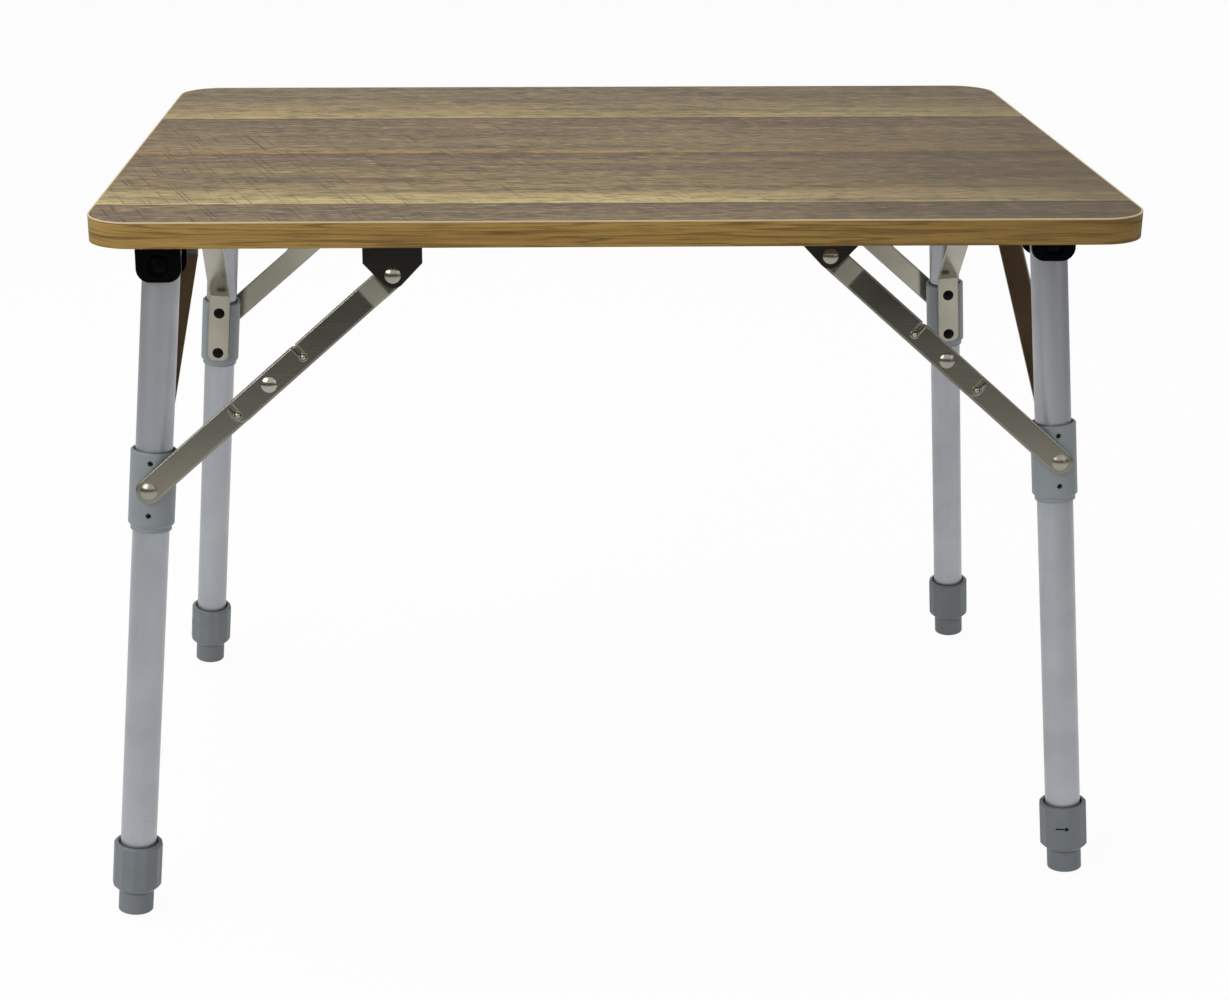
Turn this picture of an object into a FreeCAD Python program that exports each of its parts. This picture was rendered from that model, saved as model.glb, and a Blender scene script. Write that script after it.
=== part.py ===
# Folding camping table: wood-decor board on four splayed legs, each with a knee stay,
# a brace, and a telescopic foot held by a twist collar. Units are millimetres.
import os
import math
import FreeCAD
import Part

V = FreeCAD.Vector

# Board
board_length = 600.0
board_depth = 450.0
board_thickness = 15.0
corner_radius = 28.0
band_thickness = 1.0
laminate_thickness = 0.8

# Leg layout: the pivots of the left and right legs are offset so that they fold side by side
pivot_inset = 38.0
outer_inset = 41.0
pair_offset = 41.0
pivot_x = board_length / 2 - pivot_inset
pivot_y_outer = board_depth / 2 - outer_inset
pivot_y_inner = pivot_y_outer - pair_offset
pivot_drop = 17.0
splay_along = 5.0
splay_across = 4.0

# Distances down the leg, measured from its pivot
tube_above_pivot = 7.0
collar_top = 112.0
collar_bottom = 161.0
stay_pivot = 134.0
inner_tube_top = 170.0
sole = 412.0
foot_length = 16.0
twist_length = 31.0
clamp_length = 11.0
twist_bottom = sole - foot_length
twist_top = twist_bottom - twist_length
tube_end = twist_bottom - clamp_length

# Tubes and foot
tube_diameter = 22.0
tube_wall = 1.2
telescope_clearance = 0.3
inner_diameter = tube_diameter - 2 * tube_wall - 2 * telescope_clearance
foot_diameter = 21.5
foot_gap = 0.5
sole_radius = 40.0

# Fits
running_clearance = 0.05
body_gap = 0.3

# Hinge bracket
cheek_width = 26.0
cheek_inner = tube_diameter / 2 + body_gap
cheek_outer = 14.0
cheek_below = 10.0
cheek_corner = 8.0
bracket_base = 3.0
bracket_base_reach = 27.0
bolt_diameter = 6.0
bolt_head_diameter = 11.0
bolt_head_height = 1.4
bolt_ring_diameter = 14.0

# Stay
link_width = 15.0
link_thickness = 1.8
link_tail = 30.0
rivet_diameter = 5.0
rivet_head_diameter = 9.6
rivet_head_height = 1.7
notch_distance = 26.0
notch_width = 3.0
stud_diameter = 3.4
joggle_start = 9.0
joggle_length = 12.0
bracket_pivot_x = stay_pivot
bracket_pivot_z = -5.0
leaf_width = 34.0
leaf_nose = 7.5
leaf_straight = 15.0
leaf_thickness = 1.8
flange_reach = 16.0
stay_screw_inset = 9.5
stay_screw_spread = 11.0

# Collar on the leg
collar_diameter = 27.5
collar_lip = 3.0
collar_boss_diameter = 15.5
collar_flat = 13.2
collar_foot_diameter = 24.6
collar_foot_length = 3.0
pin_hole_diameter = 3.2
pin_hole_spread = 16.0

# Layers outwards from the leg axis, each clear of the one before
boss_face = cheek_outer + body_gap
lower_layer = boss_face + body_gap
upper_layer = lower_layer + link_thickness + body_gap
eye_layer = max(upper_layer, lower_layer + link_thickness + rivet_head_height) + body_gap
leaf_layer = eye_layer + link_thickness + body_gap

# Brace
brace_width = 15.0
brace_thickness = 1.5
brace_bend = 104.0
brace_tab_distance = 108.0
brace_tab_start = 14.0
brace_tab_end = 7.0
brace_rivet_first = 118.0
brace_rivet_second = 149.0
brace_rivet_diameter = 8.0
brace_rivet_height = 1.3
brace_pin_diameter = 5.0
brace_bracket_thickness = 2.0
brace_bracket_width = 18.0
brace_bracket_reach = 16.0
brace_screw_inset = 10.0
brace_screw_spread = 5.0

# Twist collar
twist_diameter = 30.2
twist_flats = 12
twist_mouth_diameter = 24.4
twist_mouth_depth = 3.0
twist_chamfer = 3.0
twist_lip = 3.5

# Screws into the board
screw_diameter = 3.5
screw_head_diameter = 7.0
screw_head_height = 1.4
screw_length = 10.0

splay = math.radians(splay_along)
lean = math.radians(splay_across)
pivot_height = (sole - sole_radius) * math.cos(splay) * math.cos(lean) + sole_radius
under_height = pivot_height + pivot_drop
tube_radius = tube_diameter / 2
inner_radius = inner_diameter / 2

# Stay pivots in the leg's plane; the knee is halfway when the stay is straight
leg_x = -math.sin(splay)
leg_z = -math.cos(splay)
low_pivot = (stay_pivot * leg_x, stay_pivot * leg_z)
high_pivot = (bracket_pivot_x, bracket_pivot_z)
stay_run = (low_pivot[0] - high_pivot[0], low_pivot[1] - high_pivot[1])
link_length = math.hypot(stay_run[0], stay_run[1]) / 2
stay_angle = math.degrees(math.atan2(stay_run[1], stay_run[0]))

os.makedirs("parts", exist_ok=True)


def turned(points):
    """Solid of revolution about the leg axis from (radius, distance down) points."""
    wire = Part.makePolygon([V(r, 0, -s) for r, s in points + points[:1]])
    return Part.Face(wire).revolve(V(0, 0, 0), V(0, 0, 1), 360)


def rod(radius, low, high):
    """Cylinder along the outward direction between two distances from the leg axis."""
    return Part.makeCylinder(radius, high - low, V(0, low, 0), V(0, 1, 0))


def domed(radius, height, low):
    """Domed rivet head that stands outwards from a face."""
    ball = (radius * radius + height * height) / (2 * height)
    dome = Part.makeSphere(ball, V(0, low + height - ball, 0))
    return dome.common(rod(radius, low, low + height))


def slab(wire_points, low, high):
    """Flat plate from (x, z) points, thick in the outward direction."""
    wire = Part.makePolygon([V(x, low, z) for x, z in wire_points + wire_points[:1]])
    return Part.Face(wire).extrude(V(0, high - low, 0))


def bar(start, end, width, low, high):
    """Strip with round ends along +x from start to end."""
    middle = Part.makeBox(end - start, high - low, width, V(start, low, -width / 2))
    first = rod(width / 2, low, high).translated(V(start, 0, 0))
    last = rod(width / 2, low, high).translated(V(end, 0, 0))
    return middle.fuse([first, last]).removeSplitter()


def splayed(shape):
    """Turns a shape built down the vertical axis to the leg's splay."""
    return shape.copy().rotate(V(0, 0, 0), V(0, 1, 0), splay_along)


def along_stay(shape, x, z):
    """Turns a shape built along +x to the stay's direction, pointing down the stay."""
    moved = shape.copy().rotate(V(0, 0, 0), V(0, 1, 0), -stay_angle)
    return moved.translated(V(x, 0, z))


def leaned(shape):
    """Leans a leg's shape sideways about the pivot."""
    return shape.copy().rotate(V(0, 0, 0), V(1, 0, 0), splay_across)


def below_board(shape):
    """Trims a leaned shape at the underside of the board."""
    block = Part.makeBox(2 * board_length, 2 * board_depth, sole, V(-board_length, -board_depth, pivot_drop))
    return shape.cut(block)


def placed(shape, leg):
    """Puts a shape built about the rear left pivot at one of the four legs."""
    result = shape.copy()
    side, end = leg
    if side == "right":
        result = result.mirror(V(0, 0, 0), V(1, 0, 0))
    if end == "front":
        result = result.mirror(V(0, 0, 0), V(0, 1, 0))
    outer = (side == "left") == (end == "front")
    across = pivot_y_outer if outer else pivot_y_inner
    x = -pivot_x if side == "left" else pivot_x
    y = -across if end == "front" else across
    return result.translated(V(x, y, pivot_height))


legs = [("left", "front"), ("left", "rear"), ("right", "front"), ("right", "rear")]


def save_each(name, shape):
    """Writes a piece once for each leg."""
    for leg in legs:
        placed(shape, leg).exportStep("parts/%s_%s_%s.step" % (name, leg[0], leg[1]))


def save_group(name, shapes):
    """Writes the like pieces of all four legs as one group of separate solids."""
    group = [placed(shape, leg) for leg in legs for shape in shapes]
    Part.makeCompound(group).exportStep("parts/%s.step" % name)


def rounded_plate(length, depth, radius, low, high):
    """Rectangle with rounded corners, centred, between two heights."""
    plate = Part.makeBox(length, depth, high - low, V(-length / 2, -depth / 2, low))
    upright = [e for e in plate.Edges if e.Length < depth / 2]
    return plate.makeFillet(radius, upright)


# Board: core, laminate on top and band round the edge
top_height = under_height + board_thickness
inner_length = board_length - 2 * band_thickness
inner_depth = board_depth - 2 * band_thickness
inner_corner = corner_radius - band_thickness
laminate_low = top_height - laminate_thickness
whole = rounded_plate(board_length, board_depth, corner_radius, under_height, top_height)
centre = rounded_plate(inner_length, inner_depth, inner_corner, under_height, top_height)
core = rounded_plate(inner_length, inner_depth, inner_corner, under_height, laminate_low)
top_slice = Part.makeBox(board_length, board_depth, board_thickness,
                         V(-board_length / 2, -board_depth / 2, laminate_low))
whole.cut(centre).exportStep("parts/edge_band.step")
centre.common(top_slice).exportStep("parts/top_laminate.step")

# Screws are built pointing up into the board, with the head's seat at the origin
shank = Part.makeCylinder(screw_diameter / 2, screw_length)
head_radius = screw_head_diameter / 2
head = Part.makeCone(head_radius, head_radius * 0.65, screw_head_height, V(0, 0, 0), V(0, 0, -1))
screw = shank.fuse(head).removeSplitter()
screw_hole = Part.makeCylinder(screw_diameter / 2, screw_length + 20, V(0, 0, -20))

# Hinge bracket: base plate and two cheeks with a ring round the bolt
bracket_low = pivot_drop - bracket_base
half_width = cheek_width / 2
cheek_outline = Part.makeBox(cheek_width, 2 * cheek_outer, 40, V(-half_width, -cheek_outer, -cheek_below))
corners = [e for e in cheek_outline.Edges if e.CenterOfMass.z < 0 and e.Length > cheek_width]
cheeks = cheek_outline.makeFillet(cheek_corner, corners)
slot = Part.makeBox(cheek_width + 2, 2 * cheek_inner, 80, V(-half_width - 1, -cheek_inner, -40))
recess = rod(bolt_ring_diameter / 2, cheek_outer - bolt_head_height, cheek_outer + 1)
recess_back = rod(bolt_ring_diameter / 2, -cheek_outer - 1, bolt_head_height - cheek_outer)
bolt_hole = rod(bolt_diameter / 2, -30, 30)
cheeks = below_board(leaned(cheeks.cut(slot).cut(recess).cut(recess_back).cut(bolt_hole)))
base = Part.makeBox(cheek_width, 2 * bracket_base_reach, bracket_base,
                    V(-half_width, -bracket_base_reach, bracket_low))
base_corners = [e for e in base.Edges if abs(e.Length - bracket_base) < 0.01]
base = base.makeFillet(5.0, base_corners)
hinge_screw_spots = []
for x in (-7.5, 7.5):
    for y in (-21.0, 21.0):
        hinge_screw_spots.append(V(x, y, bracket_low))
hinge_bracket = cheeks.fuse(base).removeSplitter()
for spot in hinge_screw_spots:
    hinge_bracket = hinge_bracket.cut(screw_hole.translated(spot))
save_each("hinge_bracket", hinge_bracket)

bolt_inner = cheek_outer - bolt_head_height
bolt = rod(bolt_diameter / 2, -bolt_inner, bolt_inner)
bolt_head = domed(bolt_head_diameter / 2, bolt_head_height, bolt_inner)
bolt_nut = bolt_head.mirror(V(0, 0, 0), V(0, 1, 0))
save_group("hinge_bolts", [leaned(bolt.fuse([bolt_head, bolt_nut]).removeSplitter())])

# Leg tube, open at the foot end
tube = turned([(tube_radius - tube_wall, -tube_above_pivot), (tube_radius, -tube_above_pivot),
               (tube_radius, tube_end), (tube_radius - tube_wall, tube_end)])
tube_hole = rod(bolt_diameter / 2 + running_clearance, -30, 30)
rivet_holes = [rod(1.6, -30, 0).translated(V(0, 0, -s)) for s in (brace_rivet_first, brace_rivet_second)]
save_each("leg_tube", leaned(splayed(tube.cut(tube_hole).cut(rivet_holes[0]).cut(rivet_holes[1]))))

# Collar on the leg: lip at the top, step at the foot, boss for the stay, flat seat for the brace
collar_radius = collar_diameter / 2
collar_foot_radius = collar_foot_diameter / 2
step_at = collar_bottom - collar_foot_length
collar = turned([(tube_radius, collar_top + collar_lip), (tube_radius + 1.2, collar_top),
                 (collar_radius - 0.7, collar_top), (collar_radius, collar_top + 0.7),
                 (collar_radius, step_at - 1.0), (collar_foot_radius, step_at + 0.6),
                 (collar_foot_radius, collar_bottom), (tube_radius, collar_bottom)])
boss = rod(collar_boss_diameter / 2, tube_radius + 1, boss_face).translated(V(0, 0, -stay_pivot))
collar = collar.fuse(boss).cut(Part.makeCylinder(tube_radius, 200, V(0, 0, -200)))
flat_block = Part.makeBox(40, 20, 100, V(-20, -collar_flat - 20, -collar_bottom - 20))
pad = Part.makeBox(18, 5, collar_bottom - collar_top - 6, V(-9, -collar_flat, -collar_bottom + 4))
pad_corners = [e for e in pad.Edges if e.Length > 4.9 and e.Length < 5.1]
pad = pad.makeFillet(5.0, pad_corners).cut(Part.makeCylinder(tube_radius, 200, V(0, 0, -200)))
collar = collar.fuse(pad).cut(flat_block)
for s in (stay_pivot - pin_hole_spread, stay_pivot + pin_hole_spread):
    collar = collar.cut(rod(pin_hole_diameter / 2, tube_radius, 30).translated(V(0, 0, -s)))
for s in (brace_rivet_first, brace_rivet_second):
    collar = collar.cut(rod(1.6, -30, 0).translated(V(0, 0, -s)))
save_each("stay_collar", leaned(splayed(collar.removeSplitter())))

# Brace: plate on the collar, strip rising inwards, tab on the hinge axis
brace_outer = collar_flat + brace_thickness
tab_back = brace_tab_distance + brace_thickness
brace_slope = math.atan2(brace_bend - brace_tab_start, brace_tab_distance - collar_flat)
bend_shift = brace_thickness * math.tan(math.pi / 4 - brace_slope / 2)
profile = [(-collar_flat, -brace_rivet_second - 6), (-brace_outer, -brace_rivet_second - 6),
           (-brace_outer, -brace_bend - bend_shift), (-tab_back, -brace_tab_start - bend_shift),
           (-tab_back, brace_tab_end), (-brace_tab_distance, brace_tab_end),
           (-brace_tab_distance, -brace_tab_start), (-collar_flat, -brace_bend)]
brace_wire = Part.makePolygon([V(-brace_width / 2, y, z) for y, z in profile + profile[:1]])
brace = Part.Face(brace_wire).extrude(V(brace_width, 0, 0))
end_edges = [e for e in brace.Edges if abs(e.Length - brace_thickness) < 0.01]
brace = brace.makeFillet(5.0, end_edges)
for s in (brace_rivet_first, brace_rivet_second):
    brace = brace.cut(rod(1.6, -30, 0).translated(V(0, 0, -s)))
brace = brace.cut(rod(brace_pin_diameter / 2 + running_clearance, -tab_back - 5, -brace_tab_distance + 5))
save_each("leg_brace", leaned(splayed(brace)))

# Two black rivets hold the brace to the collar and the tube
rivet_cap = domed(brace_rivet_diameter / 2, brace_rivet_height, brace_outer)
rivet_cap = rivet_cap.mirror(V(0, 0, 0), V(0, 1, 0))
brace_rivet = rod(1.6, -brace_outer, -tube_radius + tube_wall).fuse(rivet_cap).removeSplitter()
pair = [brace_rivet.translated(V(0, 0, -s)) for s in (brace_rivet_first, brace_rivet_second)]
save_each("brace_rivets", Part.makeCompound([leaned(splayed(r)) for r in pair]))

# Small bracket under the board for the brace's tab, with its pin on the hinge axis
bracket_near = tab_back + body_gap
bracket_far = bracket_near + brace_bracket_thickness
half_ear = brace_bracket_width / 2
ear = Part.makeBox(brace_bracket_width, brace_bracket_thickness, 60, V(-half_ear, -bracket_far, -half_ear))
ear_edges = [e for e in ear.Edges if e.Length < brace_bracket_thickness + 0.01 and e.CenterOfMass.z < 0]
ear = ear.makeFillet(8.0, ear_edges).cut(rod(brace_pin_diameter / 2, -bracket_far - 5, -bracket_near + 5))
ear = below_board(leaned(ear))
ear_top = -bracket_far * math.cos(lean) - pivot_drop * math.tan(lean)
ear_low = pivot_drop - brace_bracket_thickness
ear_flange = Part.makeBox(brace_bracket_width, brace_bracket_reach + brace_bracket_thickness,
                          brace_bracket_thickness, V(-half_ear, ear_top - brace_bracket_reach, ear_low))
ear_screw_spots = [V(x, ear_top - brace_screw_inset, ear_low)
                   for x in (-brace_screw_spread, brace_screw_spread)]
brace_bracket = ear.fuse(ear_flange).removeSplitter()
for spot in ear_screw_spots:
    brace_bracket = brace_bracket.cut(screw_hole.translated(spot))
save_group("brace_brackets", [brace_bracket])

pin_start = brace_tab_distance - body_gap
pin_end = brace_pin_diameter / 5
brace_pin = rod(brace_pin_diameter / 2, -bracket_far - pin_end, -pin_start)
pin_cap = domed(brace_rivet_diameter / 2, brace_rivet_height, -pin_start)
save_group("brace_pins", [leaned(brace_pin.fuse(pin_cap).removeSplitter())])

# Stay bracket: tapered leaf outside the stay, flange turned inwards under the board
leaf_low = leaf_layer
leaf_high = leaf_layer + leaf_thickness
leaf_top = pivot_drop + 8
taper_top = pivot_drop - leaf_straight
half_leaf = leaf_width / 2
fall = taper_top - bracket_pivot_z
reach = math.hypot(half_leaf, fall)
nose_angle = math.asin(leaf_nose / reach) + math.atan2(fall, half_leaf)
nose_x = leaf_nose * math.sin(nose_angle)
nose_z = bracket_pivot_z - leaf_nose * math.cos(nose_angle)
leaf_points = [(-half_leaf, leaf_top), (-half_leaf, taper_top), (-nose_x, nose_z),
               (nose_x, nose_z), (half_leaf, taper_top), (half_leaf, leaf_top)]
leaf = slab(leaf_points, leaf_low, leaf_high)
nose = rod(leaf_nose, leaf_low, leaf_high).translated(V(0, 0, bracket_pivot_z))
leaf_hole = rod(rivet_diameter / 2, leaf_low - 5, leaf_high + 5).translated(V(0, 0, bracket_pivot_z))
leaf = leaf.fuse(nose).removeSplitter().cut(leaf_hole).translated(V(bracket_pivot_x, 0, 0))
leaf = below_board(leaned(leaf))
flange_low = pivot_drop - leaf_thickness
leaf_edge = leaf_high * math.cos(lean) - pivot_drop * math.tan(lean)
flange = Part.makeBox(leaf_width, flange_reach, leaf_thickness,
                      V(bracket_pivot_x - half_leaf, leaf_edge - flange_reach, flange_low))
stay_screw_spots = [V(bracket_pivot_x + x, leaf_edge - stay_screw_inset, flange_low)
                    for x in (-stay_screw_spread, stay_screw_spread)]
stay_bracket = leaf.fuse(flange).removeSplitter()
for spot in stay_screw_spots:
    stay_bracket = stay_bracket.cut(screw_hole.translated(spot))
save_each("stay_bracket", stay_bracket)

bracket_rivet = rod(rivet_diameter / 2, eye_layer, leaf_high)
bracket_rivet = bracket_rivet.fuse(domed(rivet_head_diameter / 2, rivet_head_height, leaf_high))
bracket_rivet = bracket_rivet.removeSplitter().translated(V(bracket_pivot_x, 0, bracket_pivot_z))
save_group("bracket_rivets", [leaned(bracket_rivet)])

# Upper link: eye at the bracket, joggle inwards to the main layer, tail past the knee
link_end = link_length + link_tail - link_width / 2
side = [(-link_width, eye_layer), (joggle_start, eye_layer), (joggle_start + joggle_length, upper_layer),
        (link_end + link_width, upper_layer)]
back = [(x, y + link_thickness) for x, y in reversed(side)]
ribbon_wire = Part.makePolygon([V(x, y, -link_width) for x, y in side + back + side[:1]])
ribbon = Part.Face(ribbon_wire).extrude(V(0, 0, 2 * link_width))
outline = bar(0, link_end, link_width, upper_layer - 5, eye_layer + 10)
upper_link = ribbon.common(outline)
upper_link = upper_link.cut(rod(rivet_diameter / 2 + running_clearance, 0, 40))
upper_link = upper_link.cut(rod(rivet_diameter / 2, 0, 40).translated(V(link_length, 0, 0)))
upper_face = upper_layer + link_thickness
studs = []
for x in (link_length - notch_distance, link_length + notch_distance):
    # The stay points down, so its upper edge is on the -z side of the strip as built
    notch = Part.makeBox(notch_width, link_thickness + 2, link_width,
                         V(x - notch_width / 2, upper_layer - 1, -link_width))
    notch = notch.fuse(rod(notch_width / 2, upper_layer - 1, upper_face + 1).translated(V(x, 0, 0)))
    upper_link = upper_link.cut(notch)
    stud = rod(stud_diameter / 2, upper_layer, upper_face)
    stud = stud.fuse(domed(stud_diameter / 2, 0.8, upper_face)).translated(V(x, 0, 1.2))
    studs.append(stud)
upper_link = upper_link.fuse(studs).removeSplitter()
save_each("upper_link", leaned(along_stay(upper_link, *high_pivot)))

knee_rivet = rod(rivet_diameter / 2, lower_layer, upper_face)
knee_rivet = knee_rivet.fuse(domed(rivet_head_diameter / 2, rivet_head_height, upper_face)).removeSplitter()
save_each("knee_rivet", leaned(along_stay(knee_rivet.translated(V(link_length, 0, 0)), *high_pivot)))

# Lower link: tail behind the upper link, rivet head at the collar's boss
lower_face = lower_layer + link_thickness
lower_link = bar(-link_tail + link_width / 2, link_length, link_width, lower_layer, lower_face)
lower_link = lower_link.cut(rod(rivet_diameter / 2 + running_clearance, 0, 40))
collar_head = domed(rivet_head_diameter / 2, rivet_head_height, lower_face)
lower_link = lower_link.fuse(collar_head.translated(V(link_length, 0, 0))).removeSplitter()
knee = (high_pivot[0] + stay_run[0] / 2, high_pivot[1] + stay_run[1] / 2)
save_each("lower_link", leaned(along_stay(lower_link, *knee)))

# Twist collar: twelve flats, dark mouth round the tube, chamfered foot
twist_radius = twist_diameter / 2
mouth_radius = twist_mouth_diameter / 2
twist_bore = tube_radius + telescope_clearance
lip_radius = inner_radius + telescope_clearance + 0.2
ring = [V(twist_radius * math.cos(2 * math.pi * i / twist_flats),
          twist_radius * math.sin(2 * math.pi * i / twist_flats), -twist_bottom) for i in range(twist_flats)]
prism = Part.Face(Part.makePolygon(ring + ring[:1])).extrude(V(0, 0, twist_bottom - twist_top))
envelope = turned([(0, twist_top), (twist_radius - 1.2, twist_top), (twist_radius, twist_top + 1.2),
                   (twist_radius, twist_bottom - twist_chamfer), (twist_radius - twist_chamfer, twist_bottom),
                   (0, twist_bottom)])
mouth_end = twist_top + twist_mouth_depth
lip_top = twist_bottom - twist_lip
hollow = turned([(0, twist_top - 1), (mouth_radius, twist_top - 1), (mouth_radius, mouth_end),
                 (twist_bore, mouth_end), (twist_bore, lip_top), (lip_radius, lip_top),
                 (lip_radius, twist_bottom + 1), (0, twist_bottom + 1)])
save_each("twist_collar", leaned(splayed(prism.common(envelope).cut(hollow))))

# Clamp bush: split ring below the tube's end, inside the twist collar
bush = turned([(inner_radius + 0.1, tube_end), (tube_radius - 0.1, tube_end),
               (tube_radius - 0.1, lip_top - body_gap), (inner_radius + 0.1, lip_top - body_gap)])
bush = bush.cut(Part.makeBox(20, 1.5, 30, V(0, -0.75, -tube_end - 20)))
save_each("clamp_bush", leaned(splayed(bush)))

# Inner tube and the foot on its end
foot_radius = foot_diameter / 2
foot_top = twist_bottom + foot_gap
socket_end = sole - 5.0
inner_tube = turned([(inner_radius - tube_wall, inner_tube_top), (inner_radius, inner_tube_top),
                     (inner_radius, socket_end), (inner_radius - tube_wall, socket_end)])
save_each("inner_tube", leaned(splayed(inner_tube)))

foot = turned([(inner_radius, foot_top), (foot_radius - 0.6, foot_top), (foot_radius, foot_top + 0.6),
               (foot_radius, sole), (0, sole), (0, socket_end), (inner_radius, socket_end)])
sole_ball = Part.makeSphere(sole_radius, V(0, 0, sole_radius - sole))
keep = Part.makeCylinder(20, 30, V(0, 0, -sole - 1)).common(sole_ball)
keep = keep.fuse(Part.makeCylinder(20, 20, V(0, 0, -sole + 3)))
save_each("foot", leaned(splayed(foot.common(keep).removeSplitter())))

# Screws of all the brackets, and their pilot holes in the board's core
screw_spots = hinge_screw_spots + ear_screw_spots + stay_screw_spots
save_group("bracket_screws", [screw.translated(spot) for spot in screw_spots])
for leg in legs:
    for spot in screw_spots:
        core = core.cut(placed(screw_hole.common(shank).translated(spot), leg))
core.exportStep("parts/core_board.step")

print("pivot height", round(pivot_height, 3), "top", round(top_height, 3))
print("stay angle", round(stay_angle, 3), "link", round(link_length, 3))
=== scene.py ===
import math
import bpy
import bmesh
from mathutils import Matrix, Vector


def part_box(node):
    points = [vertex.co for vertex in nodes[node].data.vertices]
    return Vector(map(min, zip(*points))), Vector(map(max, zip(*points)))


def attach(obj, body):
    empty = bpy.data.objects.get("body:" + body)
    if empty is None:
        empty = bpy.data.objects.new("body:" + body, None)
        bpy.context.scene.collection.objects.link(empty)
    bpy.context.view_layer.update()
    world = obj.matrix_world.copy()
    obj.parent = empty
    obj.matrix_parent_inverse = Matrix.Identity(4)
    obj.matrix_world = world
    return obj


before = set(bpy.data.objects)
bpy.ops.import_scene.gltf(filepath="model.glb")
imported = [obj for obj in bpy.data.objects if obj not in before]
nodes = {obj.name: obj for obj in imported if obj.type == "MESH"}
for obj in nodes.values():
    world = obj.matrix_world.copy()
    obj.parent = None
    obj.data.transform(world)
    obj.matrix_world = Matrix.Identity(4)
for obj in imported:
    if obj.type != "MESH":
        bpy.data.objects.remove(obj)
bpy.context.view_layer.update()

legNames = ("left_front", "left_rear", "right_front", "right_rear")
mm = 0.001
print("frame loaded:", len(nodes), "nodes")


def hexColour(text):  # sRGB hex to linear
    values = [int(text[i:i + 2], 16) / 255 for i in (1, 3, 5)]
    linear = [v / 12.92 if v <= 0.04045 else ((v + 0.055) / 1.055) ** 2.4 for v in values]
    return (*linear, 1.0)


def addNode(tree, kind, settings=None, sockets=None):  # one node with its settings, values and links
    node = tree.nodes.new(kind)
    for name, value in (settings or {}).items():
        setattr(node, name, value)
    for name, value in (sockets or {}).items():
        if isinstance(value, bpy.types.Node):
            value = value.outputs[0]  # a node stands for its first output
        if isinstance(value, bpy.types.NodeSocket):
            tree.links.new(value, node.inputs[name])
        else:
            node.inputs[name].default_value = value
    return node


def setStops(ramp, stops, blend="LINEAR"):  # colour stops as (place, hex)
    elements = ramp.color_ramp.elements
    ramp.color_ramp.interpolation = blend
    while len(elements) > 1:
        elements.remove(elements[-1])
    elements[0].position = stops[0][0]
    elements[0].color = hexColour(stops[0][1])
    for place, colour in stops[1:]:
        elements.new(place).color = hexColour(colour)
    return ramp.outputs["Color"]


def addTints(tree, colour, patterns, tints):  # each tint grows to its share as its pattern goes start to end
    for name, start, end, share, tint in tints:
        amount = addNode(tree, "ShaderNodeMapRange", None,
                         {0: patterns[name], 1: start, 2: end, 3: 0.0, 4: share})
        blend = addNode(tree, "ShaderNodeMix", {"data_type": "RGBA"},
                        {0: amount, 6: colour, 7: hexColour(tint)})
        colour = blend.outputs[2]
    return colour


def newFinish(name, metallic, roughness):
    finish = bpy.data.materials.new(name)
    finish.use_nodes = True
    tree = finish.node_tree
    shader = tree.nodes["Principled BSDF"]
    shader.inputs["Metallic"].default_value = metallic
    shader.inputs["Roughness"].default_value = roughness
    place = addNode(tree, "ShaderNodeTexCoord").outputs["Object"]  # metres, the table's own frame
    return finish, tree, shader, place


def roundedEdge(tree, shader, height, strength, depth, radius):  # soft edges, with the surface's own relief
    edge = addNode(tree, "ShaderNodeBevel", {"samples": 4}, {"Radius": radius})
    relief = addNode(tree, "ShaderNodeBump", None,
                     {"Strength": strength, "Distance": depth, "Height": height, "Normal": edge})
    tree.links.new(relief.outputs[0], shader.inputs["Normal"])


# Camera at the photograph's place, worked out from the table's own corners and legs
view = {"place": (-0.06909, -1.42069, 0.71398),  # metres
        "yaw": 0.02111, "pitch": 0.34645, "roll": -0.00037,  # radians
        "focal": 2187.95, "centre": (541.09, 490.54), "image": (1229, 1000),  # pixels
        "sensor": 36.0, "farthest": 50}  # millimetres and metres


def addCamera():
    ahead = Vector((math.sin(view["yaw"]) * math.cos(view["pitch"]),
                    math.cos(view["yaw"]) * math.cos(view["pitch"]), -math.sin(view["pitch"])))
    right = Vector((math.cos(view["yaw"]), -math.sin(view["yaw"]), 0))
    down = ahead.cross(right)
    across = math.cos(view["roll"]) * right + math.sin(view["roll"]) * down
    below = math.cos(view["roll"]) * down - math.sin(view["roll"]) * right
    lens = bpy.data.cameras.new("photoCamera")
    wide, high = view["image"]
    lens.sensor_fit = "HORIZONTAL"
    lens.sensor_width = view["sensor"]
    lens.lens = view["focal"] * view["sensor"] / wide
    lens.shift_x = (wide / 2 - view["centre"][0]) / wide
    lens.shift_y = (view["centre"][1] - high / 2) / wide
    lens.clip_end = view["farthest"]
    camera = bpy.data.objects.new("photoCamera", lens)
    turn = Matrix((across, -below, -ahead)).transposed().to_4x4()
    camera.matrix_world = Matrix.Translation(view["place"]) @ turn
    bpy.context.scene.collection.objects.link(camera)
    bpy.context.scene.camera = camera


addCamera()
print("camera placed")

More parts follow.
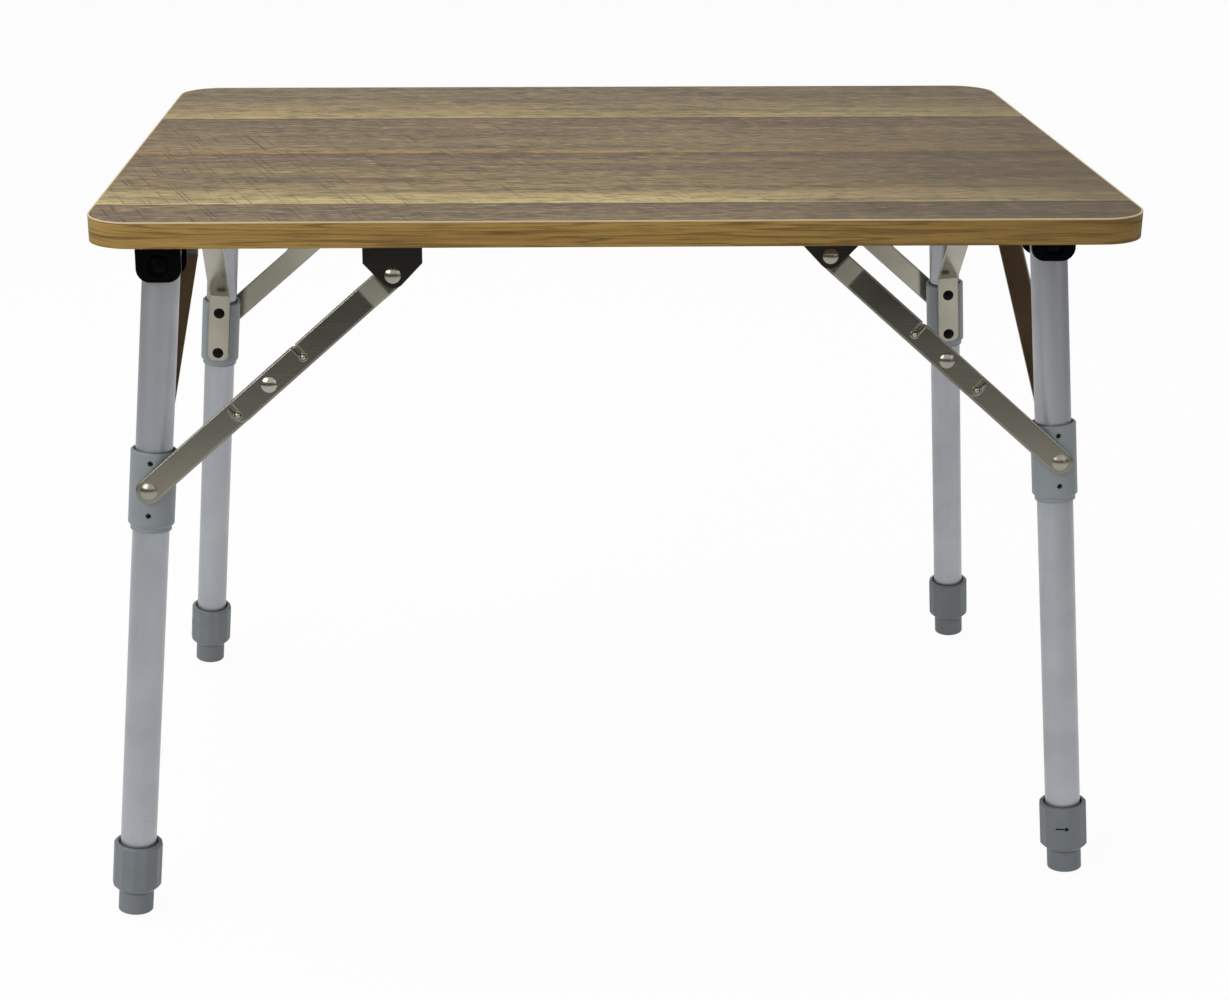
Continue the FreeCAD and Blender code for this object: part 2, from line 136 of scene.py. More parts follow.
# Melamine laminate printed with rough-sawn planks: matt, dark fibres, two planks with a tan front edge
planks = {"joints": (-178.6 * mm, -22.4 * mm, 95.3 * mm), "depth": 450 * mm, "jointWidth": 4 * mm,
          "shift": 3.7,  # metres between the first plank's print and the last one's
          # Pattern cells as length, width, detail and roughness
          # Real fibres and pores are too fine to show, so these are coarser
          "cells": {"fibre": (13 * mm, 1.7 * mm, 3.0, 0.65), "grain": (60 * mm, 7 * mm, 4.0, 0.6),
                    "streak": (300 * mm, 22 * mm, 4.0, 0.6), "cloud": (100 * mm, 22 * mm, 4.0, 0.6),
                    "pores": (20 * mm, 2.4 * mm, 1.0, 0.6), "worn": (22 * mm, 45 * mm, 2.0, 0.6)},
          "tints": (("cloud", 0.48, 0.64, 0.4, "#5f5148"), ("cloud", 0.44, 0.32, 0.35, "#9b875c"),
                    ("streak", 0.53, 0.66, 0.42, "#a18b60"), ("streak", 0.47, 0.34, 0.58, "#55473d"),
                    ("grain", 0.49, 0.34, 0.4, "#4e4137"), ("grain", 0.54, 0.7, 0.25, "#ad9a6e"),
                    ("fibre", 0.48, 0.37, 0.62, "#3d3229"), ("fibre", 0.54, 0.63, 0.48, "#b9a67a"),
                    ("pores", 0.42, 0.36, 0.45, "#3a2f26")),
          # Zones as from, to and the value at the far end; the right and front zones carry the print's fade
          # and painted shade
          "rightZone": (20 * mm, 280 * mm, 0.58), "frontZone": (-40 * mm, 40 * mm, 0.5), "shade": "#4f4439",
          "jointShare": 0.45, "jointColour": "#3a2f27",
          # Saw marks as spacing, worn from, worn to and share: fine ones and a few deep ones
          "saws": ((10.5 * mm, 0.42, 0.58, 0.45), (50 * mm, 0.48, 0.6, 0.6)),
          "sawWidth": 0.7 * mm, "sawLean": 0.36, "sawColour": "#30271f",
          "sawLeft": (-250 * mm, 250 * mm, 0.3), "sawFront": (20 * mm, 180 * mm, 0.15),
          "gloss": (0.55, 0.7), "reliefStrength": 0.2, "reliefDepth": 0.2 * mm}


def makePlankLaminate():
    finish, tree, shader, place = newFinish("plankLaminate", 0.0, 0.62)
    shader.inputs["Specular IOR Level"].default_value = 0.1
    split = addNode(tree, "ShaderNodeSeparateXYZ", None, {0: place})
    along, across = split.outputs[0], split.outputs[1]
    depth = planks["depth"]
    base = addNode(tree, "ShaderNodeMapRange", None, {0: across, 1: -depth / 2, 2: depth / 2})
    first, second, third = [(joint + depth / 2) / depth for joint in planks["joints"]]
    # Each plank shows its own stretch of the print, shifted along
    step = addNode(tree, "ShaderNodeValToRGB", None, {0: base})
    setStops(step, [(0.0, "#000000"), (first, "#555555"), (second, "#aaaaaa"), (third, "#ffffff")],
             "CONSTANT")
    offset = addNode(tree, "ShaderNodeMath", {"operation": "MULTIPLY"}, {0: step, 1: planks["shift"]})
    moved = addNode(tree, "ShaderNodeMath", {"operation": "ADD"}, {0: along, 1: offset})
    shifted = addNode(tree, "ShaderNodeCombineXYZ", None, {0: moved, 1: across})
    patterns = {}
    for name, (length, width, detail, rough) in planks["cells"].items():
        cells = addNode(tree, "ShaderNodeVectorMath", {"operation": "MULTIPLY"},
                        {0: shifted, 1: (1 / length, 1 / width, 1)})
        patterns[name] = addNode(tree, "ShaderNodeTexNoise", None,
                                 {"Vector": cells, "Scale": 1.0, "Detail": detail, "Roughness": rough})
    # Two planks are tan along the front edge and fade to grey-brown; an orange line marks the middle joint
    tones = addNode(tree, "ShaderNodeValToRGB", None, {0: base})
    colour = setStops(tones, [(0.0, "#7d6d58"), (first - 0.003, "#6f5f50"), (first + 0.001, "#c6b482"),
                              (first + 0.04, "#b8a676"), (first + 0.09, "#948260"), (first + 0.14, "#807056"),
                              (second - 0.08, "#786853"), (second - 0.018, "#65564a"),
                              (second - 0.013, "#9a7c50"), (second - 0.001, "#9a7c50"),
                              (second + 0.001, "#8a785d"), (second + 0.09, "#7d6d57"),
                              (third - 0.04, "#746453"), (third - 0.003, "#695a4d"),
                              (third + 0.001, "#b09f70"), (third + 0.05, "#a3926a"),
                              (third + 0.11, "#87795f"), (third + 0.17, "#7c6f5b"), (1.0, "#75695a")])
    colour = addTints(tree, colour, patterns, planks["tints"])
    # Partly the print's own fade, partly painted shade: all planks darken towards the right, the two front
    # ones the most
    start, end, most = planks["rightZone"]
    right = addNode(tree, "ShaderNodeMapRange", None, {0: along, 1: start, 2: end, 3: 0.0, 4: most})
    start, end, least = planks["frontZone"]
    front = addNode(tree, "ShaderNodeMapRange", None, {0: across, 1: start, 2: end, 3: 1.0, 4: least})
    patterns["shade"] = addNode(tree, "ShaderNodeMath", {"operation": "MULTIPLY"}, {0: right, 1: front})
    colour = addTints(tree, colour, patterns, (("shade", 0.0, 1.0, 1.0, planks["shade"]),))
    wide = planks["jointWidth"]
    for joint in planks["joints"][::2]:  # dark line along the front of each tan strip
        ahead = addNode(tree, "ShaderNodeMath", {"operation": "SUBTRACT"}, {0: across, 1: joint - wide / 2})
        patterns["gap"] = addNode(tree, "ShaderNodeMath", {"operation": "ABSOLUTE"}, {0: ahead})
        dark = ("gap", wide / 2, wide / 4, planks["jointShare"], planks["jointColour"])
        colour = addTints(tree, colour, patterns, (dark,))
    # Thin saw marks at uneven spacing lean across the planks, most of them to the left and in front
    lean = addNode(tree, "ShaderNodeMath", {"operation": "MULTIPLY"}, {0: across, 1: planks["sawLean"]})
    slanted = addNode(tree, "ShaderNodeMath", {"operation": "ADD"}, {0: along, 1: lean})
    cuts = []
    for spacing, start, end, share in planks["saws"]:
        line = addNode(tree, "ShaderNodeMath", {"operation": "MULTIPLY_ADD"},
                       {0: slanted, 1: 1 / spacing, 2: offset})
        cell = addNode(tree, "ShaderNodeTexVoronoi", {"voronoi_dimensions": "1D"}, {"W": line, "Scale": 1.0})
        thin = planks["sawWidth"] / spacing
        cut = addNode(tree, "ShaderNodeMapRange", None,
                      {0: cell.outputs["Distance"], 1: thin / 2, 2: thin, 3: 1.0, 4: 0.0})
        kept = addNode(tree, "ShaderNodeMapRange", None,
                       {0: patterns["worn"], 1: start, 2: end, 3: 0.0, 4: share})
        cuts.append(addNode(tree, "ShaderNodeMath", {"operation": "MULTIPLY"}, {0: cut, 1: kept}))
    deepest = addNode(tree, "ShaderNodeMath", {"operation": "MAXIMUM"}, {0: cuts[0], 1: cuts[1]})
    start, end, least = planks["sawLeft"]
    left = addNode(tree, "ShaderNodeMapRange", None, {0: along, 1: start, 2: end, 3: 1.0, 4: least})
    start, end, least = planks["sawFront"]
    near = addNode(tree, "ShaderNodeMapRange", None, {0: across, 1: start, 2: end, 3: 1.0, 4: least})
    zone = addNode(tree, "ShaderNodeMath", {"operation": "MULTIPLY"}, {0: left, 1: near})
    patterns["saw"] = addNode(tree, "ShaderNodeMath", {"operation": "MULTIPLY"}, {0: deepest, 1: zone})
    colour = addTints(tree, colour, patterns, (("saw", 0.0, 1.0, 1.0, planks["sawColour"]),))
    tree.links.new(colour, shader.inputs["Base Color"])
    low, high = planks["gloss"]
    gloss = addNode(tree, "ShaderNodeMapRange", None, {0: patterns["fibre"], 1: 0.3, 2: 0.7, 3: low, 4: high})
    tree.links.new(gloss.outputs[0], shader.inputs["Roughness"])
    relief = addNode(tree, "ShaderNodeBump", None,
                     {"Strength": planks["reliefStrength"], "Distance": planks["reliefDepth"],
                      "Height": patterns["fibre"]})
    tree.links.new(relief.outputs[0], shader.inputs["Normal"])
    return finish


# Oak-print ABS edging: satin, level golden grain, a pale cut line along its top
band = {"topLine": 0.9 * mm, "linesPerSwirl": 5.0,
        # Pattern cells as length, height, detail, roughness and distortion
        # Real fine grain is too fine to show, so this is coarser
        "cells": {"fine": (28 * mm, 0.9 * mm, 4.0, 0.6, 0.0), "broad": (200 * mm, 4.2 * mm, 3.0, 0.5, 0.4),
                  "swirl": (200 * mm, 6.2 * mm, 2.0, 0.5, 0.0)},
        "tones": ((0.3, "#80622f"), (0.45, "#91723a"), (0.6, "#997b40"), (0.72, "#a08347")),
        "tints": (("fine", 0.49, 0.36, 0.5, "#5a4119"), ("contour", 0.17, 0.05, 0.55, "#4f3816"),
                  ("fine", 0.54, 0.68, 0.35, "#ad9050"),
                  ("along", 50 * mm, 300 * mm, 0.35, "#4f3816")),  # painted shade, darker towards the right
        "lineShare": 0.85, "lineColour": "#d9c49b",
        "reliefStrength": 0.2, "reliefDepth": 0.2 * mm, "edge": 0.7 * mm}


def makeOakBand():
    finish, tree, shader, place = newFinish("oakEdgeBand", 0.0, 0.46)
    shader.inputs["Specular IOR Level"].default_value = 0.25
    patterns = {}
    for name, (length, height, detail, rough, warp) in band["cells"].items():
        cells = addNode(tree, "ShaderNodeVectorMath", {"operation": "MULTIPLY"},
                        {0: place, 1: (1 / length, 1 / length, 1 / height)})
        patterns[name] = addNode(tree, "ShaderNodeTexNoise", None,
                                 {"Vector": cells, "Scale": 1.0, "Detail": detail, "Roughness": rough,
                                  "Distortion": warp})
    ramp = addNode(tree, "ShaderNodeValToRGB", None, {0: patterns["broad"]})
    lines = addNode(tree, "ShaderNodeMath", {"operation": "MULTIPLY"},
                    {0: patterns["swirl"], 1: band["linesPerSwirl"]})
    patterns["contour"] = addNode(tree, "ShaderNodeMath", {"operation": "PINGPONG"}, {0: lines, 1: 0.5})
    split = addNode(tree, "ShaderNodeSeparateXYZ", None, {0: place})
    patterns["along"] = split.outputs[0]
    patterns["height"] = split.outputs[2]
    colour = addTints(tree, setStops(ramp, band["tones"]), patterns, band["tints"])
    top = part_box("edge_band")[1].z
    line = ("height", top - band["topLine"], top - band["topLine"] / 2, band["lineShare"], band["lineColour"])
    colour = addTints(tree, colour, patterns, (line,))
    tree.links.new(colour, shader.inputs["Base Color"])
    roundedEdge(tree, shader, patterns["fine"], band["reliefStrength"], band["reliefDepth"], band["edge"])
    return finish


# Anodised aluminium tube: drawn, satin, faint lines along its length and a few small nicks
# Real drawing lines are too fine to show, so these are wider
tubeFinish = {"lineWidth": 0.9 * mm, "lineLength": 160 * mm, "bloom": 35.7 * mm,
              # A nick's cell, the chance above which a cell has one, and its radius in cells
              "nickSize": 11 * mm, "nickChance": (0.955, 0.96), "nickRadius": (0.03, 0.07),
              "colour": "#a8abaf", "gloss": (0.32, 0.42),
              "tints": (("bloom", 0.35, 0.65, 1.0, "#a1a4a9"), ("drawn", 0.5, 0.3, 0.14, "#8d9095"),
                        ("nick", 0.0, 1.0, 0.5, "#5a5d60")),
              "reliefStrength": 0.06, "reliefDepth": 0.1 * mm, "edge": 0.3 * mm}


def makeAnodised():
    finish, tree, shader, place = newFinish("anodisedAluminium", 0.65, 0.38)
    wide, long = tubeFinish["lineWidth"], tubeFinish["lineLength"]
    cells = addNode(tree, "ShaderNodeVectorMath", {"operation": "MULTIPLY"},
                    {0: place, 1: (1 / wide, 1 / wide, 1 / long)})
    drawn = addNode(tree, "ShaderNodeTexNoise", None, {"Vector": cells, "Scale": 1.0, "Detail": 3.0})
    bloom = addNode(tree, "ShaderNodeTexNoise", None,
                    {"Vector": place, "Scale": 1 / tubeFinish["bloom"], "Detail": 3.0})
    cell = addNode(tree, "ShaderNodeTexVoronoi", None, {"Vector": place, "Scale": 1 / tubeFinish["nickSize"]})
    chance = addNode(tree, "ShaderNodeSeparateXYZ", None, {0: cell.outputs["Color"]})
    start, end = tubeFinish["nickChance"]
    rare = addNode(tree, "ShaderNodeMapRange", None, {0: chance, 1: start, 2: end})
    inner, outer = tubeFinish["nickRadius"]
    spot = addNode(tree, "ShaderNodeMapRange", None,
                   {0: cell.outputs["Distance"], 1: inner, 2: outer, 3: 1.0, 4: 0.0})
    nick = addNode(tree, "ShaderNodeMath", {"operation": "MULTIPLY"}, {0: spot, 1: rare})
    colour = addTints(tree, hexColour(tubeFinish["colour"]), {"bloom": bloom, "drawn": drawn, "nick": nick},
                      tubeFinish["tints"])
    tree.links.new(colour, shader.inputs["Base Color"])
    low, high = tubeFinish["gloss"]
    gloss = addNode(tree, "ShaderNodeMapRange", None, {0: bloom, 1: 0.3, 2: 0.7, 3: low, 4: high})
    tree.links.new(gloss.outputs[0], shader.inputs["Roughness"])
    roundedEdge(tree, shader, drawn, tubeFinish["reliefStrength"], tubeFinish["reliefDepth"],
                tubeFinish["edge"])
    return finish


# Moulded plastic: even colour, spark-eroded grain, soft edges and faint paler patches
# Real grain is too fine to show, so the grit of each finish is coarser
moulded = {"patch": 22.2 * mm, "glossSpread": (-0.06, 0.08),
           "reliefStrength": 0.22, "reliefShare": 0.3}  # relief as a share of the grit


def makeMoulded(name, colourName, paleName, roughness, grit, edgeRadius, shine=0.5):
    finish, tree, shader, place = newFinish(name, 0.0, roughness)
    shader.inputs["Specular IOR Level"].default_value = shine
    grain = addNode(tree, "ShaderNodeTexNoise", None, {"Vector": place, "Scale": 1 / grit, "Detail": 2.0})
    bloom = addNode(tree, "ShaderNodeTexNoise", None,
                    {"Vector": place, "Scale": 1 / moulded["patch"], "Detail": 4.0})
    colour = addTints(tree, hexColour(colourName), {"bloom": bloom, "grain": grain},
                      (("bloom", 0.35, 0.68, 0.5, paleName), ("grain", 0.55, 0.8, 0.3, paleName)))
    tree.links.new(colour, shader.inputs["Base Color"])
    low, high = moulded["glossSpread"]
    gloss = addNode(tree, "ShaderNodeMapRange", None,
                    {0: bloom, 1: 0.3, 2: 0.7, 3: roughness + low, 4: roughness + high})
    tree.links.new(gloss.outputs[0], shader.inputs["Roughness"])
    roundedEdge(tree, shader, grain, moulded["reliefStrength"], grit * moulded["reliefShare"], edgeRadius)
    return finish


# Plated steel: mirror-like, faint rolling scratches, slightly yellow film
# Real scratches are too fine to show, so these are wider
plated = {"scratchWidth": 0.6 * mm, "scratchLength": 30 * mm, "film": 58.8 * mm,
          "glossSpread": (-0.05, 0.08), "scuff": 0.12,
          "reliefStrength": 0.03, "reliefDepth": 0.1 * mm}


def makePlated(name, colourName, dullName, roughness, edgeRadius):
    finish, tree, shader, place = newFinish(name, 1.0, roughness)
    wide, long = plated["scratchWidth"], plated["scratchLength"]
    cells = addNode(tree, "ShaderNodeVectorMath", {"operation": "MULTIPLY"},
                    {0: place, 1: (1 / long, 1 / wide, 1 / wide)})
    scratch = addNode(tree, "ShaderNodeTexNoise", None, {"Vector": cells, "Scale": 1.0, "Detail": 2.0})
    film = addNode(tree, "ShaderNodeTexNoise", None,
                   {"Vector": place, "Scale": 1 / plated["film"], "Detail": 3.0})
    colour = addTints(tree, hexColour(colourName), {"film": film}, (("film", 0.35, 0.7, 1.0, dullName),))
    tree.links.new(colour, shader.inputs["Base Color"])
    low, high = plated["glossSpread"]
    haze = addNode(tree, "ShaderNodeMapRange", None,
                   {0: film, 1: 0.35, 2: 0.7, 3: roughness + low, 4: roughness + high})
    scuff = addNode(tree, "ShaderNodeMapRange", None,
                    {0: scratch, 1: 0.6, 2: 0.8, 3: 0.0, 4: plated["scuff"]})
    gloss = addNode(tree, "ShaderNodeMath", {"operation": "ADD"}, {0: haze, 1: scuff})
    tree.links.new(gloss.outputs[0], shader.inputs["Roughness"])
    roundedEdge(tree, shader, scratch, plated["reliefStrength"], plated["reliefDepth"], edgeRadius)
    return finish


# Particle board's backing paper: flat brown print, flecked
backing = {"fleckLength": 16.7 * mm, "fleckWidth": 2.38 * mm, "cloud": 111 * mm, "colour": "#8a7159",
           "tints": (("cloud", 0.35, 0.65, 1.0, "#776049"), ("fleck", 0.55, 0.75, 0.4, "#5f503d")),
           "reliefStrength": 0.2, "reliefDepth": 0.3 * mm}


def makeBacking():
    finish, tree, shader, place = newFinish("backingPaper", 0.0, 0.7)
    cells = addNode(tree, "ShaderNodeVectorMath", {"operation": "MULTIPLY"},
                    {0: place, 1: (1 / backing["fleckLength"], 1 / backing["fleckWidth"], 1)})
    fleck = addNode(tree, "ShaderNodeTexNoise", None, {"Vector": cells, "Scale": 1.0, "Detail": 4.0})
    cloud = addNode(tree, "ShaderNodeTexNoise", None,
                    {"Vector": place, "Scale": 1 / backing["cloud"], "Detail": 4.0})
    colour = addTints(tree, hexColour(backing["colour"]), {"cloud": cloud, "fleck": fleck}, backing["tints"])
    tree.links.new(colour, shader.inputs["Base Color"])
    relief = addNode(tree, "ShaderNodeBump", None,
                     {"Strength": backing["reliefStrength"], "Distance": backing["reliefDepth"],
                      "Height": fleck})
    tree.links.new(relief.outputs[0], shader.inputs["Normal"])
    return finish


# Moulded: name, colour, paler colour, roughness, grit, edge radius and shine
# Plated: name, colour, duller colour, roughness and edge radius
finishes = {
    "top_laminate": makePlankLaminate(),
    "edge_band": makeOakBand(),
    "core_board": makeBacking(),
    "tube": makeAnodised(),
    # Glass-filled nylon, mid and darker grey: dull satin with broad soft highlights on the edges
    "stay_collar": makeMoulded("greyNylon", "#7d8487", "#8c9396", 0.44, 0.7 * mm, 1.2 * mm),
    "twist_collar": makeMoulded("darkGreyNylon", "#686e72", "#787e82", 0.48, 0.7 * mm, 1.2 * mm),
    # Grey rubber: the dullest of the mouldings
    "foot": makeMoulded("footRubber", "#6b6f73", "#787d81", 0.58, 0.9 * mm, 0.8 * mm),
    # Black glass-filled nylon: nearly no shine
    "hinge_bracket": makeMoulded("blackGlassNylon", "#040404", "#080808", 0.4, 0.6 * mm, 0.8 * mm, 0.04),
    # Zinc-plated strip: bright, with a wide rolled edge that catches the light
    "steel": makePlated("platedStrip", "#9d998c", "#8d897c", 0.15, 1.9 * mm),
    # Steel bracket with a smoky film: darker and less sharp than the strip
    "stay_bracket": makePlated("smokedBracket", "#504d47", "#403d38", 0.22, 0.8 * mm),
    # Nickel-plated rivet: the sharpest highlights
    "rivet": makePlated("nickelRivet", "#a8a499", "#938f84", 0.12, 0.3 * mm),
    # Black painted rivet: satin, with a small highlight
    "brace_rivets": makeMoulded("blackPaintedRivet", "#070707", "#0d0d0e", 0.42, 0.6 * mm, 0.4 * mm, 0.08),
}
wears = (("top_laminate", "top_laminate"), ("edge_band", "edge_band"), ("core_board", "core_board"),
         ("leg_tube", "tube"), ("inner_tube", "tube"),
         ("stay_collar", "stay_collar"), ("clamp_bush", "stay_collar"), ("twist_collar", "twist_collar"),
         ("foot", "foot"), ("hinge_bracket", "hinge_bracket"), ("hinge_bolts", "hinge_bracket"),
         ("upper_link", "steel"), ("lower_link", "steel"), ("leg_brace", "steel"),
         ("stay_bracket", "stay_bracket"), ("brace_brackets", "stay_bracket"),
         ("brace_rivets", "brace_rivets"), ("bracket_rivets", "rivet"), ("brace_pins", "rivet"),
         ("bracket_screws", "rivet"), ("knee_rivet", "rivet"))
for name, node in nodes.items():
    finish = next(finishes[worn] for start, worn in wears if name.startswith(start))
    node.data.materials.clear()
    node.data.materials.append(finish)
print("finishes on", len(nodes), "nodes")

# The leg's own frame in metres, for marks that sit on a leg
leg = {"pivotX": 0.262, "outerY": 0.184, "innerY": 0.143, "splay": math.radians(5), "lean": math.radians(4),
       "soleFromPivot": 0.412, "soleRadius": 0.04}


def legMatrix(name, splay=leg["splay"]):  # from a leg straight down at the origin to its place on the table
    side, end = name.split("_")
    height = (leg["soleFromPivot"] - leg["soleRadius"]) * math.cos(leg["splay"]) * math.cos(leg["lean"])
    turn = Matrix.Rotation(leg["lean"], 4, "X") @ Matrix.Rotation(splay, 4, "Y")
    flip = Matrix.Diagonal((-1 if side == "right" else 1, -1 if end == "front" else 1, 1, 1))
    across = leg["outerY"] if (side == "left") == (end == "front") else leg["innerY"]
    place = Matrix.Translation((leg["pivotX"] if side == "right" else -leg["pivotX"],
                                -across if end == "front" else across, height + leg["soleRadius"]))
    return place @ flip @ turn


def meshFrom(form, name):
    mesh = bpy.data.meshes.new(name)
    form.to_mesh(mesh)
    form.free()
    return mesh


def addPiece(name, form, finish, body):
    piece = bpy.data.objects.new(name, meshFrom(form, name))
    piece.data.materials.append(finish)
    bpy.context.scene.collection.objects.link(piece)
    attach(piece, body)


# Small black arrow printed on one flat of each twist collar, pointing round it
arrow = {"fromPivot": 0.3788, "flatRadius": 0.0151 * math.cos(math.pi / 12),  # the collar has twelve flats
         "lift": 0.00006,
         "flats": {"left_front": 285, "left_rear": 195, "right_front": 75, "right_rear": 165},  # degrees
         "shape": ((-0.0044, -0.0005), (0.0018, -0.0005), (0.0018, -0.0017), (0.0044, 0.0), (0.0018, 0.0017),
                   (0.0018, 0.0005), (-0.0044, 0.0005))}
printInkAndPaintedShade = makeMoulded("blackPrintAndPaintedShade", "#060606", "#0b0b0b", 0.5, 0.8 * mm, 0.1 * mm, 0.1)  # flat black, dull: the arrows' print, and the painted shade in the stop dimples
for name in legNames:
    angle = math.radians(arrow["flats"][name])
    outward = Vector((math.cos(angle), math.sin(angle), 0))
    sideways = Vector((-math.sin(angle), math.cos(angle), 0))
    centre = outward * (arrow["flatRadius"] + arrow["lift"]) + Vector((0, 0, -arrow["fromPivot"]))
    form = bmesh.new()
    form.faces.new([form.verts.new(legMatrix(name) @ (centre + sideways * x + Vector((0, 0, z))))
                    for x, z in arrow["shape"]])
    bmesh.ops.recalc_face_normals(form, faces=form.faces)
    addPiece("twistArrow_" + name, form, printInkAndPaintedShade, "twist_" + name)
print("arrows printed on the twist collars")

# Bright stop balls in the stay's two notches, each with the notch's pale rolled rim
stops = {"pivot": (0.134, -0.005), "along": (-0.750, -0.6615), "across": (0.6615, -0.750),
         "fromPivot": (0.0711, 0.1231), "offset": 0.0012, "face": 0.0185, "ball": 0.0019, "segments": 20,
         "rimInner": 0.0021, "rimOuter": 0.0027, "rimHeight": 0.0003,
         "rimStart": -70, "rimTurn": 320,  # degrees; open on the notch's side, towards the stay's upper edge
         "backFace": 0.0146, "backLift": 0.00006, "backRadius": 0.0016}


def stopForm(name, which):
    px, pz = stops["pivot"]
    ax, az = stops["along"]
    cx, cz = stops["across"]
    reach = stops["fromPivot"][which]
    centre = Vector((px + ax * reach + cx * stops["offset"], stops["face"],
                     pz + az * reach + cz * stops["offset"]))
    count = stops["segments"]
    form = bmesh.new()
    bmesh.ops.create_uvsphere(form, u_segments=count, v_segments=count // 2, radius=stops["ball"])
    bmesh.ops.translate(form, verts=form.verts, vec=centre)
    turns = [math.radians(stops["rimStart"] + stops["rimTurn"] * i / (count - 1)) for i in range(count)]
    lift = stops["rimHeight"]
    profile = ((stops["rimInner"], -lift), (stops["rimInner"], lift),
               (stops["rimOuter"], lift), (stops["rimOuter"], -lift))
    rows = []
    for turn in turns:
        sideways = Vector((ax, 0, az)) * math.cos(turn) + Vector((cx, 0, cz)) * math.sin(turn)
        rows.append([form.verts.new(centre + sideways * radius + Vector((0, height, 0)))
                     for radius, height in profile])
    for row, following in zip(rows, rows[1:]):
        for i in range(4):
            form.faces.new((row[i], row[(i + 1) % 4], following[(i + 1) % 4], following[i]))
    form.faces.new(rows[0])
    form.faces.new(rows[-1])
    bmesh.ops.transform(form, matrix=legMatrix(name, 0.0), verts=form.verts)
    bmesh.ops.recalc_face_normals(form, faces=form.faces)
    for face in form.faces:
        face.smooth = True
    return form


def paintedDimpleShadeForm(name):  # painted shade: a flat black disc for the dark dimple behind the first stop, seen from inside the table
    px, pz = stops["pivot"]
    ax, az = stops["along"]
    reach = stops["fromPivot"][0]
    centre = Vector((px + ax * reach, stops["backFace"] - stops["backLift"], pz + az * reach))
    turns = [2 * math.pi * i / stops["segments"] for i in range(stops["segments"])]
    form = bmesh.new()
    form.faces.new([form.verts.new(centre + stops["backRadius"] * Vector((math.cos(turn), 0, math.sin(turn))))
                    for turn in turns])
    bmesh.ops.transform(form, matrix=legMatrix(name, 0.0), verts=form.verts)
    return form


# Painted shade: a flat black disc behind each first stop, then the two stop balls
for name in legNames:
    addPiece("paintedDimpleShade_" + name, paintedDimpleShadeForm(name), printInkAndPaintedShade, "stay_lower_" + name)
    for which in (0, 1):
        addPiece("stopBall_%s_%d" % (name, which), stopForm(name, which), finishes["rivet"],
                 "stay_upper_" + name)
print("stop balls on the stays")

# Studio: pale floor with a faint shadow, white surround, large soft lamps
studio = {"floorSize": 30.0, "floorDrop": 0.0002, "floorColour": "#f4f4f4", "floorGlow": 0.95,
          "surround": 0.5}
# Dark cloth, a ring of it on the floor and a low wall: only reflections show it, as the steel's dark half
cloth = {"inner": 1.05, "full": 2.1, "outer": 14.0, "lift": 0.0005, "cover": 0.74, "colour": "#1c1b1a",
         "wall": 3.0, "height": 1.1, "segments": 64}


def whiteRays(tree):  # rays that should see a white studio
    rays = addNode(tree, "ShaderNodeLightPath")
    shiny = addNode(tree, "ShaderNodeMath", {"operation": "MAXIMUM"},
                    {0: rays.outputs["Is Glossy Ray"], 1: rays.outputs["Is Transmission Ray"]})
    return addNode(tree, "ShaderNodeMath", {"operation": "MAXIMUM"},
                   {0: rays.outputs["Is Camera Ray"], 1: shiny})


def addFloor():
    form = bmesh.new()
    bmesh.ops.create_grid(form, x_segments=1, y_segments=1, size=studio["floorSize"] / 2)
    floor = bpy.data.objects.new("studioFloor", meshFrom(form, "studioFloor"))
    floor.location.z = -studio["floorDrop"]
    bpy.context.scene.collection.objects.link(floor)
    finish, tree, shader = newFinish("studioPaper", 0.0, 0.9)[:3]  # matt paper, nearly white
    shader.inputs["Base Color"].default_value = hexColour(studio["floorColour"])
    white = addNode(tree, "ShaderNodeEmission", None, {"Color": (1, 1, 1, 1), "Strength": 1.0})
    glow = addNode(tree, "ShaderNodeMath", {"operation": "MULTIPLY"},
                   {0: whiteRays(tree), 1: studio["floorGlow"]})
    blend = addNode(tree, "ShaderNodeMixShader", None, {0: glow, 1: shader, 2: white})
    tree.links.new(blend.outputs[0], tree.nodes["Material Output"].inputs["Surface"])
    floor.data.materials.append(finish)


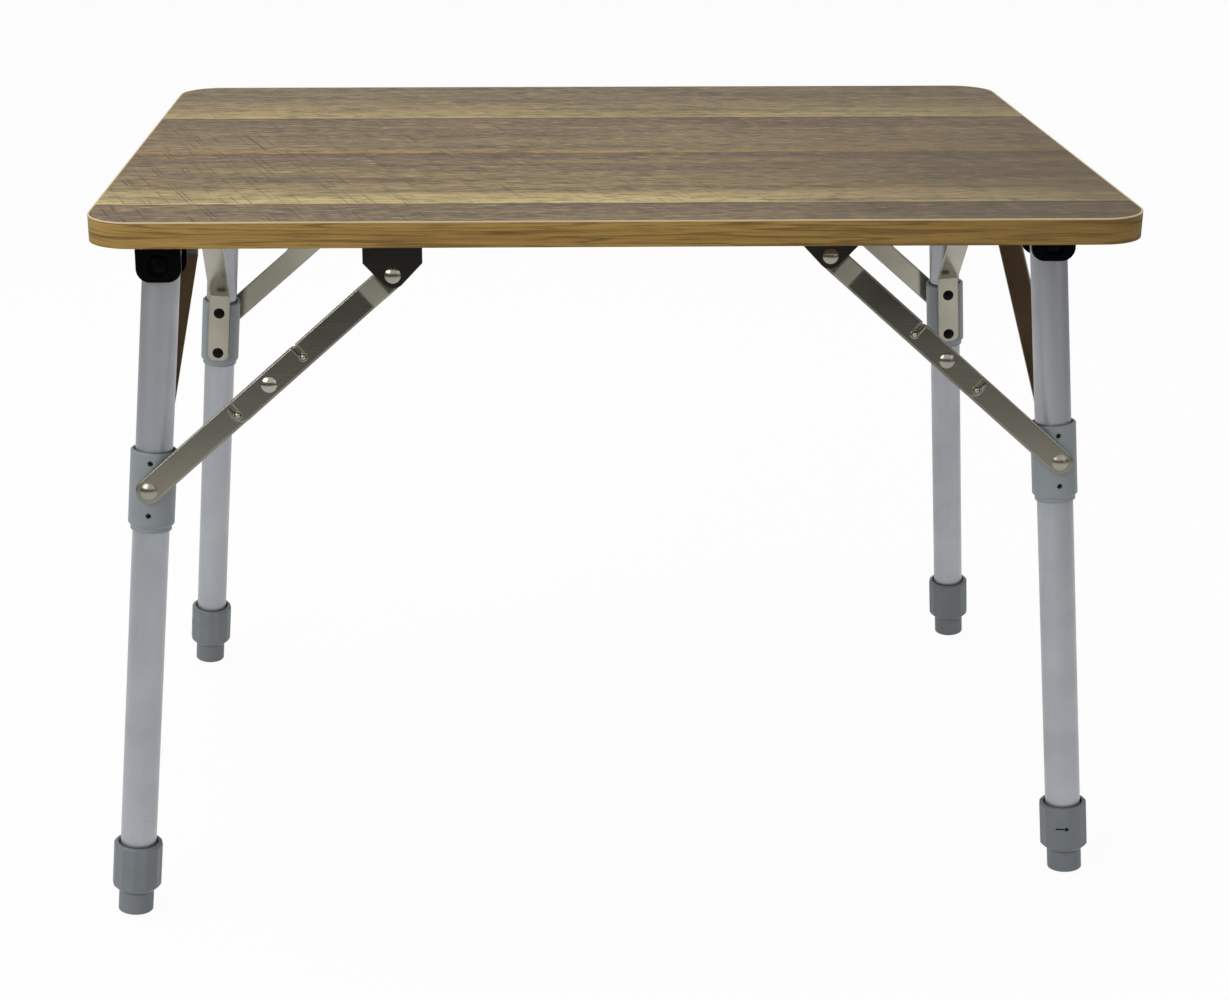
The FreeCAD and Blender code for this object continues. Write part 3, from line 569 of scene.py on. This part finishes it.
def addDarkCloth():
    form = bmesh.new()
    bmesh.ops.create_grid(form, x_segments=1, y_segments=1, size=cloth["outer"])
    raised = Matrix.Translation((0, 0, cloth["height"] / 2))
    bmesh.ops.create_cone(form, segments=cloth["segments"], radius1=cloth["wall"], radius2=cloth["wall"],
                          depth=cloth["height"], matrix=raised)
    ring = bpy.data.objects.new("darkCloth", meshFrom(form, "darkCloth"))
    ring.location.z = cloth["lift"]
    ring.visible_camera = False
    ring.visible_diffuse = False
    ring.visible_shadow = False
    ring.visible_transmission = False
    bpy.context.scene.collection.objects.link(ring)
    finish, tree, shader, place = newFinish("darkCloth", 0.0, 1.0)  # soft black, no shine
    shader.inputs["Base Color"].default_value = hexColour(cloth["colour"])
    shader.inputs["Specular IOR Level"].default_value = 0.0
    away = addNode(tree, "ShaderNodeVectorMath", {"operation": "LENGTH"}, {0: place})
    amount = addNode(tree, "ShaderNodeMapRange", None,
                     {0: away.outputs["Value"], 1: cloth["inner"], 2: cloth["full"], 3: 0.0,
                      4: cloth["cover"]})
    clear = addNode(tree, "ShaderNodeBsdfTransparent")
    blend = addNode(tree, "ShaderNodeMixShader", None, {0: amount, 1: clear, 2: shader})
    tree.links.new(blend.outputs[0], tree.nodes["Material Output"].inputs["Surface"])
    ring.data.materials.append(finish)


def addSurround():
    world = bpy.data.worlds.new("studioSurround")
    bpy.context.scene.world = world
    world.use_nodes = True
    tree = world.node_tree
    strength = addNode(tree, "ShaderNodeMapRange", None,
                       {0: whiteRays(tree), 1: 0.0, 2: 1.0, 3: studio["surround"], 4: 1.0})
    tree.nodes["Background"].inputs["Color"].default_value = (1, 1, 1, 1)
    tree.links.new(strength.outputs[0], tree.nodes["Background"].inputs["Strength"])


# Lamps as name, place, target, size in metres and power in watts
lamps = (("keyLamp", (-1.3, -1.3, 1.45), (-0.1, 0.0, 0.3), 1.2, 17.0),
         ("topLamp", (-0.4, 0.3, 2.2), (0.0, 0.0, 0.3), 1.5, 17.0),
         ("fillLamp", (1.9, -1.7, 0.9), (0.0, 0.0, 0.25), 1.2, 2.0))
for name, place, target, size, power in lamps:
    light = bpy.data.lights.new(name, "AREA")
    light.shape = "SQUARE"
    light.size = size
    light.energy = power
    lamp = bpy.data.objects.new(name, light)
    lamp.location = place
    lamp.rotation_euler = (Vector(target) - Vector(place)).to_track_quat("-Z", "Y").to_euler()
    bpy.context.scene.collection.objects.link(lamp)
addFloor()
addDarkCloth()
addSurround()
bpy.context.scene.view_settings.view_transform = "Standard"
print("studio lit")
